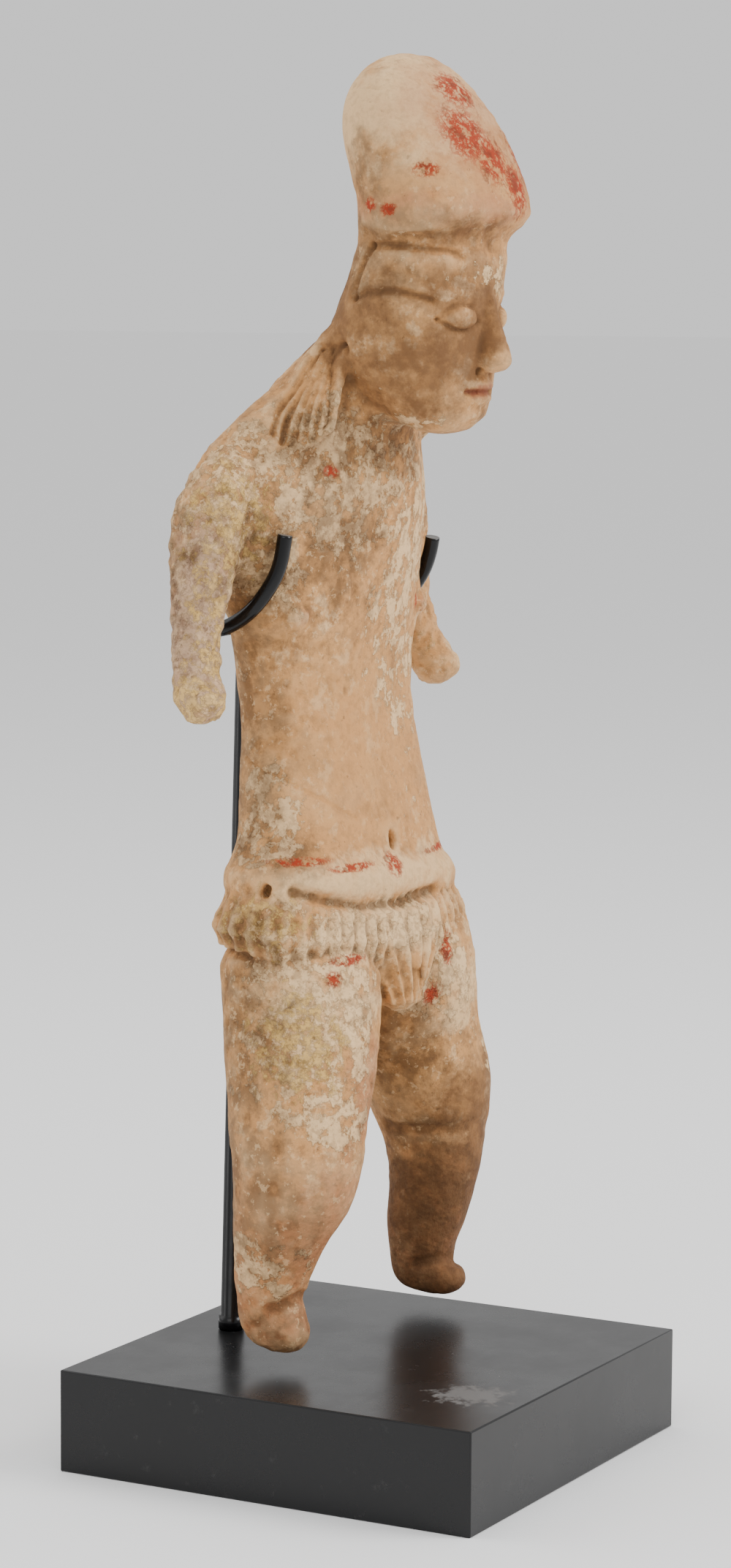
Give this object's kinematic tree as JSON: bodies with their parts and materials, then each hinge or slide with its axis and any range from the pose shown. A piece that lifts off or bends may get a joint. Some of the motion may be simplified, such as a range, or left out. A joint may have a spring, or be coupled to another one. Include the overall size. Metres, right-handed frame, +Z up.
{
  "type": "pottery female figurine",
  "caption": "Hand-modelled fired-clay standing woman with a tall headdress and pleated skirt, hung by the armpits on a black block stand.",
  "frame": {"origin": "middle of the block's underside", "axes": "+Z up; the figure faces -Y and its left side is +X"},
  "size_m": [0.1194, 0.1, 0.3065],
  "materials": {
    "fired_clay": "matte pale tan slip, brown dirt, worn orange-red paint",
    "black_block": "satin black",
    "black_rod": "satin black paint"
  },
  "bodies": {
    "root": {"figurine": "fired_clay", "stand_base": "black_block", "stand_post": "black_rod", "stand_cradle": "black_rod"}
  },
  "joints": []
}
